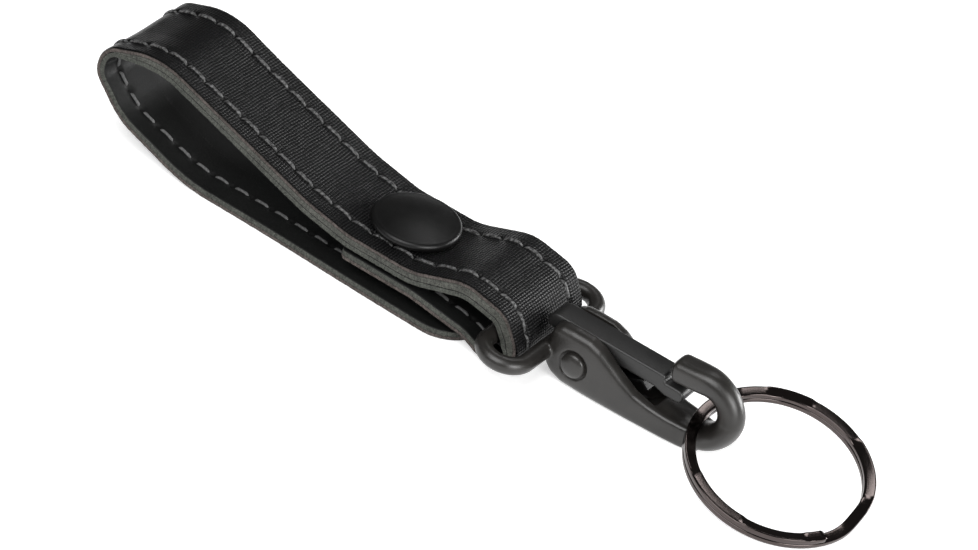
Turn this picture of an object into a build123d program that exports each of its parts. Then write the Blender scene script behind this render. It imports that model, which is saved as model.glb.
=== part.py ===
"""Wristlet keychain: a stitched strap closed by a snap fastener, a snap hook and a split ring.

Millimetres.  +X runs along the strap towards the ring, +Z is up, and the origin is on the
resting plane under the snap fastener.  The side view of the strap is one route, its outside
face; each ply is the space between two depths below that route.
"""
import os
from math import atan2, cos, degrees, radians, sin, sqrt

from build123d import *

os.makedirs("parts", exist_ok=True)

# ---- strap -----------------------------------------------------------------------------------
strap_width = 19.0
facing_thickness = 0.8
lining_thickness = 0.9
arm_core = 1.0
fold_core = 1.3
two_ply = facing_thickness + lining_thickness
tail_tip_x = 17.5
tail_corner_radius = 7.0
hinge_x = -32.0
hinge_gap = 0.3
return_tip_x = -7.2
return_tip_radius = 1.5
core_end_x = -53.0
core_end_z = 2.4

# The outside face, in side view: x, z, bend radius and depth of the core at each corner.
seat_z = 8.85
seat_half_length = 6.1
fold_x = 27.3
return_z = 3.75
strap_route = [
    (hinge_x - hinge_gap / 2, 0.0, 0.0, 0.0),
    (-37.5, 0.0, 28.0, 0.0),
    (-51.3, 5.0, 12.0, 0.0),
    (-57.6, 11.3, 5.2, 0.0),
    (-57.6, 16.9, 4.2, 0.0),
    (-46.7, 20.8, 15.0, arm_core),
    (-14.8, 10.5, 30.0, arm_core),
    (-seat_half_length, seat_z, 15.0, arm_core),
    (seat_half_length, seat_z, 12.0, arm_core),
    (15.8, 12.4, 9.0, fold_core),
    (23.9, 10.8, 5.0, fold_core),
    (fold_x, 5.9, 6.0, arm_core),
    (fold_x, 0.7, 3.0, 0.0),
    (20.8, 0.7, 6.0, 0.0),
    (17.2, 2.4, 8.0, 0.0),
    (6.8, return_z, 15.0, 0.0),
    (return_tip_x, return_z, 0.0, 0.0),
]

# ---- stitching -------------------------------------------------------------------------------
stitch_margin = 3.3
stitch_pitch = 4.1
stitch_length = 3.0
thread_width = 0.7
thread_depth = 0.4
thread_sink = 0.05
groove_clearance = 0.05
stitch_row_y = strap_width / 2 - stitch_margin

# ---- snap fastener ---------------------------------------------------------------------------
cap_radius = 7.46
cap_rim_z = 0.8
cap_height = 3.2
cap_seat_radius = 4.1
cap_shoulder = 0.9
cap_shoulder_drop = 0.95
cap_crown_drop = 0.2
cap_side_z = 0.75
cap_roll = 0.6
cap_post_radius = 1.75
post_clearance = 0.1
post_roll = 0.5
post_roll_height = 0.3
snap_gap = 0.1
stud_flange = 0.25
stud_flange_radius = 5.2
stud_radius = 2.9
stud_waist = stud_radius - 0.4
stud_height = 0.9
stud_waist_height = 0.2
stud_shoulder_height = 0.55
stud_top_plate = 0.3
rivet_head = 0.35
rivet_head_radius = 4.8
rivet_radius = 1.6
spring_wire = 0.25
spring_clearance = 0.05
spring_arc = 330
mouth_clearance = 0.3
spring_room = 0.7
socket_wall = 1.7
socket_plate = 0.4
socket_lip = 0.3
socket_bevel = 0.4
socket_mouth_radius = stud_radius + mouth_clearance
socket_cavity_radius = socket_mouth_radius + spring_room
socket_radius = socket_cavity_radius + socket_wall

# ---- snap hook -------------------------------------------------------------------------------
eye_x = 21.85
eye_z = 5.2
eye_rod = 1.45
eye_side_clearance = 2.35
eye_face_clearance = 0.5
eye_half_width = strap_width / 2 + eye_side_clearance + eye_rod
eye_depth = fold_x - eye_x + eye_rod + eye_face_clearance
eye_tilt = 4.0
pin_x = 34.7
pin_z = 4.9
pin_radius = 1.2
pin_running_clearance = 0.05
pin_head_radius = 2.3
pin_head_height = 0.5
pin_bore_clearance = 0.02
pin_head_taper = 30
pocket_half_width = 2.4
ear_thickness = 2.4
body_half_width = pocket_half_width + ear_thickness
neck_half_width = 3.4
neck_end_narrowing = 0.6
pocket_floor = 1.2
pocket_front_x = 49.6
pocket_front_z = 5.0
pocket_slope_x = 46.0
ear_back_x = 29.3
ear_back_z = 3.0
ear_front_x = 37.6
ear_top_z = 10.4
spine_x = 42.5
spine_z = 7.0
throat_x = 48.2
throat_z = 4.5
neck_z = 3.8
taper_start_x = 37.0
pocket_back_x = 31.4
gate_clearance = 0.15
gate_top = 10.2
gate_bottom = 7.4
gate_back_x = 27.3
gate_step_x = 49.0
gate_lip_x = 52.7
gate_lip_top = 9.0
gate_lip_bottom = 6.8
gate_edge_radius = 0.5
gate_hub_radius = 2.6
hub_overlap = 0.5
bow_x = 55.4
bow_radius = 5.1
bow_rod = 2.15
bow_z = bow_radius + bow_rod
bow_overlap = 1.5
neck_x = bow_x - 1.6
tip_x = 49.3
tip_drop = 0.9
leaf_thickness = 0.35
leaf_width = 2.6
leaf_lift = 0.3

# ---- split ring -------------------------------------------------------------------------------
# The ring leans on the bow at one side, lies on the resting plane at the other and rolls a little.
ring_outer_radius = 15.2
ring_wire_width = 1.85
ring_coil_height = 0.975
ring_coil_gap = 0.08
ring_edge_radius = 0.25
ring_side_shift = 0.95
ring_roll = sin(radians(7.6))
ring_bow_clearance = 0.5
ring_wire_x = bow_x + 0.2
ring_wire_z = 2 * bow_rod + ring_coil_height + ring_bow_clearance


def below_route(extra_depth, with_core):
    """Corners and bend radii of a line under the outside face, with or without the core."""
    points, bend_radii = [], []
    count = len(strap_route)
    for i, (x, z, bend, core) in enumerate(strap_route):
        here = Vector(x, z)
        before = Vector(*strap_route[max(i - 1, 0)][:2])
        after = Vector(*strap_route[min(i + 1, count - 1)][:2])
        way_in = (here - before).normalized() if i else (after - here).normalized()
        way_out = (after - here).normalized() if i < count - 1 else way_in
        inward = Vector(way_in.Y + way_out.Y, -way_in.X - way_out.X).normalized()
        half_turn_cos = sqrt((1 + way_in.dot(way_out)) / 2)
        depth = extra_depth + (core if with_core else 0.0)
        points.append(here + inward * (depth / half_turn_cos))
        turns_inward = way_in.X * way_out.Y - way_in.Y * way_out.X < 0
        if 0 < i < count - 1:
            bend_radii.append(bend - depth if turns_inward else bend + depth)
    return points, bend_radii


def strap_band(outer, inner):
    """Side-view face between two lines under the outside face."""
    with BuildSketch() as band:
        with BuildLine():
            first = FilletPolyline(*outer[0], radius=outer[1])
            second = FilletPolyline(*inner[0], radius=inner[1])
            Line(first @ 0, second @ 0)
            Line(first @ 1, second @ 1)
        make_face()
    return band.sketch


def line_under(line):
    """A line under the outside face, as a wire in the side-view plane."""
    with BuildLine():
        drawn = FilletPolyline(*line[0], radius=line[1])
    return Wire(drawn.edges())


outside = below_route(0.0, False)
facing_back = below_route(facing_thickness, False)
core_back = below_route(facing_thickness, True)
inside = below_route(two_ply, True)
groove_depth = thread_depth + thread_sink + groove_clearance
groove_width = thread_width + 2 * groove_clearance
facing_groove = strap_band(outside, below_route(groove_depth, False))
lining_groove = strap_band(below_route(two_ply - groove_depth, True), inside)


def two_rows(section, width):
    """Extrude a side-view face into both stitch rows, in the open part block."""
    for side in (-1, 1):
        with BuildSketch(Plane.XZ.offset(-side * stitch_row_y - width / 2)) as row:
            add(section)
        extrude(row.sketch, amount=width)


def cut_post_hole():
    """Hole for the cap's post through both arms, in the open part block."""
    with BuildSketch(Plane.XY) as hole:
        Circle(cap_post_radius + post_clearance)
    extrude(hole.sketch, amount=2 * seat_z, mode=Mode.SUBTRACT)


def round_tip_corners(ply):
    """Round the two corners of the return arm's cut end."""
    upright = ply.edges().filter_by(Axis.Z)
    at_tip = upright.filter_by_position(Axis.X, return_tip_x - 0.01, return_tip_x + 0.01)
    rows = at_tip.group_by(Axis.Y)
    fillet(rows[0] + rows[-1], radius=return_tip_radius)


# ---- strap: facing, core and lining ----------------------------------------------------------
with BuildPart() as grooves:
    two_rows(facing_groove, groove_width)
    two_rows(lining_groove, groove_width)

with BuildPart() as strap_facing:
    with BuildSketch(Plane.XZ):
        add(strap_band(outside, facing_back))
    extrude(amount=strap_width / 2, both=True)
    add(grooves.part, mode=Mode.SUBTRACT)
    cut_post_hole()
    round_tip_corners(strap_facing)
strap_facing.part.label = "strap_facing"

with BuildPart() as strap_core:
    with BuildSketch(Plane.XZ):
        add(strap_band(outside, core_back))
    extrude(amount=strap_width / 2, both=True)
    with BuildSketch(Plane.XZ):
        add(strap_band(outside, facing_back))
    extrude(amount=strap_width, both=True, mode=Mode.SUBTRACT)
    cut_post_hole()
    # The skived ends of the core are cut off square, just short of a feather edge.
    with Locations((core_end_x, 0, core_end_z)):
        core_reach = (fold_x - core_end_x, 2 * strap_width, 2 * seat_z + core_end_z)
        Box(*core_reach, align=(Align.MIN, Align.CENTER, Align.MIN), mode=Mode.INTERSECT)
strap_core.part.label = "strap_core"

with BuildPart() as strap_lining:
    with BuildSketch(Plane.XZ):
        add(strap_band(outside, inside))
    extrude(amount=strap_width / 2, both=True)
    with BuildSketch(Plane.XZ):
        add(strap_band(outside, core_back))
    extrude(amount=strap_width, both=True, mode=Mode.SUBTRACT)
    add(grooves.part, mode=Mode.SUBTRACT)
    cut_post_hole()
    round_tip_corners(strap_lining)
strap_lining.part.label = "strap_lining"


# ---- strap: stitching, one node for each row --------------------------------------------------
def dashes_on(line, stitch_count):
    """Side-view rectangles along a line, one for each stitch, in the open sketch block."""
    wire = line_under(line)
    for i in range(stitch_count):
        share = (i + 0.5) / stitch_count
        here, along = wire.position_at(share), wire.tangent_at(share)
        with Locations(Location((here.X, here.Y, 0), (0, 0, degrees(atan2(along.Y, along.X))))):
            Rectangle(stitch_length, 4 * thread_depth)


stitch_count = int((line_under(outside).length - stitch_margin) / stitch_pitch)
facing_thread = strap_band(below_route(thread_sink, False), below_route(thread_sink + thread_depth, False))
thread_top = below_route(two_ply - thread_sink - thread_depth, True)
lining_thread = strap_band(thread_top, below_route(two_ply - thread_sink, True))
with BuildSketch() as facing_stitches:
    dashes_on(outside, stitch_count)
    add(facing_thread, mode=Mode.INTERSECT)
with BuildSketch() as lining_stitches:
    dashes_on(inside, stitch_count)
    add(lining_thread, mode=Mode.INTERSECT)

rows = {}
for row_name, row_side in (("stitching_near", -1), ("stitching_far", 1)):
    with BuildPart() as stitch_row:
        for stitches in (facing_stitches, lining_stitches):
            with BuildSketch(Plane.XZ.offset(-row_side * stitch_row_y - thread_width / 2)):
                add(stitches.sketch)
            extrude(amount=thread_width)
    stitch_row.part.label = row_name
    rows[row_name] = stitch_row

# ---- tail: facing, lining and stitching -------------------------------------------------------
tail_start_x = hinge_x + hinge_gap / 2


def tail_outline(inset):
    """Plan of the tail with a rounded end, brought in by an inset, in the open sketch block."""
    with BuildLine() as outline:
        half = strap_width / 2 - inset
        corner = tail_corner_radius - inset
        start, end = tail_start_x, tail_tip_x - inset
        FilletPolyline(
            (start, -half), (end, -half), (end, half), (start, half), radius=[corner, corner]
        )
        Line((start, half), (start, -half))
    make_face(outline.edges())


def tail_row(width):
    """Plan of the line of stitching round the tail, in the open sketch block."""
    tail_outline(stitch_margin - width / 2)
    with BuildSketch(mode=Mode.PRIVATE) as inner:
        tail_outline(stitch_margin + width / 2)
    add(inner.sketch, mode=Mode.SUBTRACT)
    with Locations((tail_start_x, 0)):
        Rectangle(2 * width, 2 * (stitch_row_y - width / 2), mode=Mode.SUBTRACT)


def cut_tail_groove(floor_z):
    """Groove for the thread, from a height up, in the open part block."""
    with BuildSketch(Plane.XY.offset(floor_z)) as row:
        tail_row(groove_width)
    extrude(row.sketch, amount=groove_depth, mode=Mode.SUBTRACT)


with BuildPart() as tail_facing:
    with BuildSketch():
        tail_outline(0)
    extrude(amount=facing_thickness)
    cut_tail_groove(0)
    with BuildSketch():
        Circle(rivet_head_radius + post_clearance)
    extrude(amount=rivet_head, mode=Mode.SUBTRACT)
    with BuildSketch():
        Circle(rivet_radius + post_clearance)
    extrude(amount=two_ply, mode=Mode.SUBTRACT)
tail_facing.part.label = "tail_facing"

with BuildPart() as tail_lining:
    with BuildSketch(Plane.XY.offset(facing_thickness)):
        tail_outline(0)
    extrude(amount=lining_thickness)
    cut_tail_groove(two_ply - groove_depth)
    with BuildSketch():
        Circle(rivet_radius + post_clearance)
    extrude(amount=two_ply, mode=Mode.SUBTRACT)
tail_lining.part.label = "tail_lining"

with BuildPart() as tail_stitching:
    with BuildLine():
        half = stitch_row_y
        corner = tail_corner_radius - stitch_margin
        end = tail_tip_x - stitch_margin
        seam = FilletPolyline(
            (tail_start_x, -half), (end, -half), (end, half), (tail_start_x, half),
            radius=[corner, corner],
        )
    tail_stitch_count = int(seam.length / stitch_pitch)
    seam_wire = Wire(seam.edges())
    for floor_z in (thread_sink, two_ply - thread_sink - thread_depth):
        with BuildSketch(Plane.XY.offset(floor_z)):
            for i in range(tail_stitch_count):
                share = (i + 0.5) / tail_stitch_count
                here, along = seam_wire.position_at(share), seam_wire.tangent_at(share)
                with Locations(Location((here.X, here.Y, 0), (0, 0, degrees(atan2(along.Y, along.X))))):
                    Rectangle(stitch_length, 2 * thread_width)
            with BuildSketch(mode=Mode.PRIVATE) as thread_plan:
                tail_row(thread_width)
            add(thread_plan.sketch, mode=Mode.INTERSECT)
        extrude(amount=thread_depth)
tail_stitching.part.label = "tail_stitching"

# ---- snap fastener: cap, socket and its spring on the strap -----------------------------------
socket_top = return_z
socket_bottom = two_ply + stud_flange + snap_gap
roll_z = socket_top - socket_plate - post_roll_height

with BuildPart() as snap_cap:
    with BuildSketch(Plane.XZ):
        with BuildLine():
            rim_z = seat_z + cap_rim_z
            dome_z = seat_z + cap_height
            shoulder_x = cap_radius - cap_shoulder
            shoulder_z = dome_z - cap_shoulder_drop
            roll_x = cap_post_radius + post_roll
            roll_top = roll_z + post_roll_height
            Line((0, roll_z), (0, dome_z))
            crown = (shoulder_x / 2, dome_z - cap_crown_drop)
            dome = ThreePointArc((0, dome_z), crown, (shoulder_x, shoulder_z))
            side = TangentArc(dome @ 1, (cap_radius, rim_z + cap_side_z), tangent=dome % 1)
            rim_middle = (cap_radius - cap_roll / 3, rim_z + cap_side_z / 3)
            rim = ThreePointArc(side @ 1, rim_middle, (cap_radius - cap_roll, rim_z))
            Polyline(
                rim @ 1, (cap_seat_radius, rim_z), (cap_seat_radius, seat_z), (cap_post_radius, seat_z),
                (cap_post_radius, roll_top), (roll_x, roll_top), (roll_x, roll_z), (0, roll_z),
            )
        make_face()
    revolve(axis=Axis.Z)
snap_cap.part.label = "snap_cap"

with BuildPart() as snap_socket:
    with BuildSketch(Plane.XZ):
        with BuildLine():
            hole = cap_post_radius + post_clearance / 2
            Polyline(
                (hole, socket_top), (socket_radius - socket_bevel, socket_top),
                (socket_radius, socket_top - socket_bevel), (socket_radius, socket_bottom + socket_bevel),
                (socket_radius - socket_bevel, socket_bottom),
                (socket_mouth_radius, socket_bottom), (socket_mouth_radius, socket_bottom + socket_lip),
                (socket_cavity_radius, socket_bottom + socket_lip),
                (socket_cavity_radius, socket_top - socket_plate), (hole, socket_top - socket_plate),
                close=True,
            )
        make_face()
    revolve(axis=Axis.Z)
snap_socket.part.label = "snap_socket"

with BuildPart() as socket_spring:
    spring_z = socket_bottom + socket_lip + spring_wire + spring_clearance
    with BuildSketch(Plane.XZ):
        with Locations((socket_mouth_radius + spring_wire, spring_z)):
            Circle(spring_wire)
    revolve(axis=Axis.Z, revolution_arc=spring_arc)
socket_spring.part.label = "socket_spring"

# ---- snap fastener: stud and its rivet post on the tail ---------------------------------------
with BuildPart() as snap_stud:
    flange_z = two_ply + stud_flange
    stud_top = flange_z + stud_height
    with BuildSketch(Plane.XZ):
        with BuildLine():
            bore = rivet_radius + post_clearance / 2
            Polyline(
                (bore, two_ply), (stud_flange_radius, two_ply), (stud_flange_radius, flange_z),
                (stud_waist, flange_z), (stud_waist, flange_z + stud_waist_height),
                (stud_radius, flange_z + stud_shoulder_height), (stud_waist, stud_top), (0, stud_top),
                (0, stud_top - stud_top_plate), (bore, stud_top - stud_top_plate), close=True,
            )
        make_face()
    revolve(axis=Axis.Z)
snap_stud.part.label = "snap_stud"

with BuildPart() as snap_post:
    with BuildSketch():
        Circle(rivet_head_radius)
    extrude(amount=rivet_head)
    with BuildSketch(Plane.XY.offset(rivet_head)):
        Circle(rivet_radius)
    extrude(amount=stud_top - stud_top_plate - post_clearance / 2 - rivet_head)
snap_post.part.label = "snap_post"

# ---- snap hook --------------------------------------------------------------------------------
with BuildPart() as hook_body:
    # Side view of the body, thinned in plan towards the bow.
    with BuildSketch(Plane.XZ):
        with BuildLine():
            FilletPolyline(
                (ear_back_x, ear_back_z), (pin_x - pin_radius, 0.0), (neck_x, 0.0), (neck_x, neck_z),
                (throat_x, throat_z), (spine_x, spine_z), (ear_front_x, ear_top_z),
                (ear_back_x + ear_thickness / 3, ear_top_z), (ear_back_x, ear_back_z),
                radius=[0.8, 3.0, 0.2, 0.2, 4.0, 6.0, 2.2, 1.2], close=True,
            )
        make_face()
    extrude(amount=body_half_width, both=True)
    with BuildSketch(Plane.XY):
        with BuildLine():
            near = Polyline(
                (eye_x, -body_half_width), (taper_start_x, -body_half_width), (neck_x, -neck_half_width),
                (bow_x, neck_end_narrowing - neck_half_width),
            )
            far = Polyline(
                (eye_x, body_half_width), (taper_start_x, body_half_width), (neck_x, neck_half_width),
                (bow_x, neck_half_width - neck_end_narrowing),
            )
            Line(near @ 0, far @ 0)
            Line(near @ 1, far @ 1)
        make_face()
    extrude(amount=2 * ear_top_z, mode=Mode.INTERSECT)
    # The pocket between the two ears holds the gate and its spring.
    with BuildSketch(Plane.XZ):
        with BuildLine():
            FilletPolyline(
                (pocket_back_x, 2 * ear_top_z), (pocket_back_x, pocket_floor),
                (pocket_slope_x, pocket_floor), (pocket_front_x, pocket_front_z),
                (pocket_front_x, 2 * ear_top_z), radius=[1.0, 2.0, 0], close=False,
            )
            Line((pocket_front_x, 2 * ear_top_z), (pocket_back_x, 2 * ear_top_z))
        make_face()
    extrude(amount=pocket_half_width, both=True, mode=Mode.SUBTRACT)
    # Rear of the pocket, open above the eye so that the gate can lie over it.
    with Locations((eye_x, 0, eye_z + eye_rod)):
        rear_cut = (pocket_back_x + 1 - eye_x, 2 * pocket_half_width, ear_top_z)
        Box(*rear_cut, align=(Align.MIN, Align.CENTER, Align.MIN), mode=Mode.SUBTRACT)
    # Eye for the strap: a rod bent into a flat loop.
    eye_plane = Plane(
        origin=(eye_x, 0, eye_z),
        x_dir=(cos(radians(eye_tilt)), 0, -sin(radians(eye_tilt))),
        z_dir=(sin(radians(eye_tilt)), 0, cos(radians(eye_tilt))),
    )
    with BuildLine(eye_plane) as eye_line:
        straight = eye_half_width - eye_depth / 2
        back_bar = Line((0, -straight), (0, straight))
        ThreePointArc((0, straight), (eye_depth / 2, eye_half_width), (eye_depth, straight))
        Line((eye_depth, straight), (eye_depth, -straight))
        ThreePointArc((eye_depth, -straight), (eye_depth / 2, -eye_half_width), (0, -straight))
    with BuildSketch(Plane(origin=back_bar @ 0, z_dir=back_bar % 0)):
        Circle(eye_rod)
    sweep(path=eye_line.wires()[0])
    # Bow and nose.
    with BuildLine(Plane.XZ) as bow_line:
        lower = Line((neck_x - bow_overlap, bow_rod), (bow_x, bow_rod))
        turn = ThreePointArc(lower @ 1, (bow_x + bow_radius, bow_z), (bow_x, bow_z + bow_radius))
        Line(turn @ 1, (tip_x, bow_z + bow_radius - tip_drop))
    with BuildSketch(Plane(origin=lower @ 0, z_dir=(1, 0, 0))):
        Circle(bow_rod)
    sweep(path=bow_line.wires()[0])
    with Locations(Plane.XZ.offset(-body_half_width).location):
        with Locations((pin_x, pin_z)):
            Hole(pin_radius + pin_bore_clearance, depth=2 * body_half_width)
hook_body.part.label = "hook_body"

with BuildPart() as gate_pin:
    with BuildSketch(Plane.XZ):
        with Locations((pin_x, pin_z)):
            Circle(pin_radius)
    extrude(amount=body_half_width, both=True)
    for side in (-1, 1):
        with BuildSketch(Plane.XZ.offset(side * body_half_width)):
            with Locations((pin_x, pin_z)):
                Circle(pin_head_radius)
        extrude(amount=side * pin_head_height, taper=pin_head_taper)
gate_pin.part.label = "gate_pin"

gate_half_width = pocket_half_width - gate_clearance
with BuildPart() as gate:
    with BuildSketch(Plane.XZ):
        with BuildLine():
            FilletPolyline(
                (gate_back_x, gate_bottom), (gate_back_x, gate_top), (gate_step_x, gate_top),
                (gate_step_x, gate_lip_top), (gate_lip_x, gate_lip_top), (gate_lip_x, gate_lip_bottom),
                (gate_step_x, gate_lip_bottom), (gate_step_x - 2, gate_bottom),
                radius=[0.5, 1.6, 0.4, 0.2, 0.9, 0.9, 1.5, 1.5], close=True,
            )
        make_face()
        with Locations((pin_x, pin_z)):
            Circle(gate_hub_radius)
        with Locations((pin_x, (pin_z + gate_bottom + hub_overlap) / 2)):
            Rectangle(2 * gate_hub_radius, gate_bottom + hub_overlap - pin_z)
        with Locations((pin_x, pin_z)):
            Circle(pin_radius + pin_running_clearance, mode=Mode.SUBTRACT)
    extrude(amount=gate_half_width, both=True)
    top_edges = gate.edges().filter_by_position(Axis.Z, gate_top - 0.05, gate_top + 0.05)
    fillet(top_edges.filter_by(Axis.X), radius=gate_edge_radius)
gate.part.label = "gate"

with BuildPart() as gate_spring:
    with BuildSketch(Plane.XZ):
        with BuildLine():
            leaf = FilletPolyline(
                (45.2, pocket_floor + leaf_lift), (38.3, pocket_floor + leaf_lift), (39.6, 4.2),
                (45.0, 6.7), (46.5, 5.5), radius=[0.8, 3.0, 0.6],
            )
            offset(leaf, amount=leaf_thickness, side=Side.RIGHT)
        make_face()
    extrude(amount=leaf_width / 2, both=True)
gate_spring.part.label = "gate_spring"

# ---- split ring -------------------------------------------------------------------------------
wire_circle = ring_outer_radius - ring_wire_width / 2
# Pitch that puts the wire at its height on the bow and the far side on the resting plane.
rise = ring_wire_z - ring_coil_height
spread = ring_outer_radius**2 - wire_circle**2
swing = rise * wire_circle
ring_pitch = (sqrt(swing**2 - spread * ((ring_outer_radius * ring_roll) ** 2 - rise**2)) - swing) / spread
upright = sqrt(1 - ring_pitch**2 - ring_roll**2)
lowest = ring_outer_radius * sqrt(ring_pitch**2 + ring_roll**2) + ring_coil_height * upright
level = sqrt(1 - ring_pitch**2)
ring_plane = Plane(
    origin=(ring_wire_x + wire_circle * level, ring_side_shift, lowest),
    x_dir=(level, ring_pitch * ring_roll / level, -ring_pitch * upright / level),
    z_dir=(ring_pitch, -ring_roll, upright),
)
with BuildPart() as split_ring:
    with BuildSketch(ring_plane):
        Circle(ring_outer_radius)
        Circle(ring_outer_radius - ring_wire_width, mode=Mode.SUBTRACT)
    extrude(amount=ring_coil_height, both=True)
    fillet(split_ring.edges(), radius=ring_edge_radius)
    with BuildSketch(ring_plane):
        Circle(ring_outer_radius + 1)
        Circle(ring_outer_radius - ring_edge_radius, mode=Mode.SUBTRACT)
    extrude(amount=ring_coil_gap, both=True, mode=Mode.SUBTRACT)
split_ring.part.label = "split_ring"

finished = [
    strap_facing, strap_core, strap_lining, rows["stitching_near"], rows["stitching_far"],
    tail_facing, tail_lining, tail_stitching, snap_cap, snap_socket, socket_spring, snap_stud,
    snap_post, hook_body, gate_pin, gate, gate_spring, split_ring,
]
for piece in finished:
    export_step(piece.part, f"parts/{piece.part.label}.step")
    size = piece.part.bounding_box().size
    print(f"{piece.part.label}: {len(piece.part.solids())} solids, {size.X:.1f} x {size.Y:.1f} x {size.Z:.1f}")
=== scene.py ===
"""Looks of the wristlet keychain: stitched strap, snap fastener, snap hook and split ring.

Lengths in the classes are millimetres and meshes are made in metres.  The strap is cut flat, as
on the bench: s runs along the blank, y across it and depth down from its outside face.  One
route then bends every ply, hole and stitch of the blank into shape.
"""
from __future__ import annotations

import itertools
import logging
import math
from dataclasses import dataclass, field
from enum import Enum
from typing import Any, Callable, Iterable, Sequence

import bmesh
import bpy
from mathutils import Matrix, Vector, noise


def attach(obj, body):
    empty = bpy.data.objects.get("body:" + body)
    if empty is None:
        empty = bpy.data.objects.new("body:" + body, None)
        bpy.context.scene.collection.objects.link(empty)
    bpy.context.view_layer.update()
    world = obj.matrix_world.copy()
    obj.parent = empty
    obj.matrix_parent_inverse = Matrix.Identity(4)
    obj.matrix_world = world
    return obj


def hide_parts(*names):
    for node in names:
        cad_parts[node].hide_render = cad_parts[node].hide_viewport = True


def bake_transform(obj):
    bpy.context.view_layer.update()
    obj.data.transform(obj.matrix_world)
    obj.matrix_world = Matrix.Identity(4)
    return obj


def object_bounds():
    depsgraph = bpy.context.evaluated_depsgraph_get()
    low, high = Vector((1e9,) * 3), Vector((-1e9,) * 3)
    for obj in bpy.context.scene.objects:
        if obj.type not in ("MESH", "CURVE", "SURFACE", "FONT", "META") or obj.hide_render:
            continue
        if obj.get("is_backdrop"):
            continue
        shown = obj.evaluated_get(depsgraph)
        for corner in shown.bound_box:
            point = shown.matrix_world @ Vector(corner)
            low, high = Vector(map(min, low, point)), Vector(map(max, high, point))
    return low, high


log = logging.getLogger("keychain")
MM = 0.001
UV_SCALE = 0.01
Point2 = tuple[float, float]
HOLE_REACH2 = 2.5
HOLE_SHADE = 0.16
SMALL_SHARE = 1e-3


class Body(Enum):
    """The rigid bodies that pieces ride on."""

    STRAP = "strap"
    TAIL = "tail"
    HOOK = "hook"
    GATE = "gate"
    RING = "ring"
    HINGE = "strap to tail"


# ---- Shader building ----
class Value:
    """A shader socket that carries a number and takes part in sums."""

    def __init__(self, tree: bpy.types.NodeTree, socket: bpy.types.NodeSocket) -> None:
        """Wrap a socket of a node tree."""
        self.tree = tree
        self.socket = socket

    def _math(self, operation: str, *others: "Value | float") -> "Value":
        """Add one Math node.

        Args:
            operation: the Math node's operation.
            others: the values or numbers that follow this one.

        Returns:
            The node's result.
        """
        node = self.tree.nodes.new("ShaderNodeMath")
        node.operation = operation
        for index, item in enumerate((self, *others)):
            if isinstance(item, Value):
                self.tree.links.new(item.socket, node.inputs[index])
            else:
                node.inputs[index].default_value = float(item)
        return Value(self.tree, node.outputs[0])

    def __add__(self, other: "Value | float") -> "Value":
        """Sum."""
        return self._math("ADD", other)

    __radd__ = __add__

    def __mul__(self, other: "Value | float") -> "Value":
        """Product."""
        return self._math("MULTIPLY", other)

    __rmul__ = __mul__

    def __sub__(self, other: "Value | float") -> "Value":
        """Difference."""
        return self._math("SUBTRACT", other)

    def __rsub__(self, other: float) -> "Value":
        """Difference from a number."""
        return (self * -1.0) + other

    def __truediv__(self, other: "Value | float") -> "Value":
        """Quotient."""
        return self._math("DIVIDE", other)

    def sin(self) -> "Value":
        """Sine."""
        return self._math("SINE")

    def abs(self) -> "Value":
        """Size without the sign."""
        return self._math("ABSOLUTE")

    def power(self, exponent: float) -> "Value":
        """Power of a value that is never negative."""
        return self._math("POWER", exponent)

    def clamped(self) -> "Value":
        """Kept between zero and one."""
        return self._math("MAXIMUM", 0.0)._math("MINIMUM", 1.0)


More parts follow.
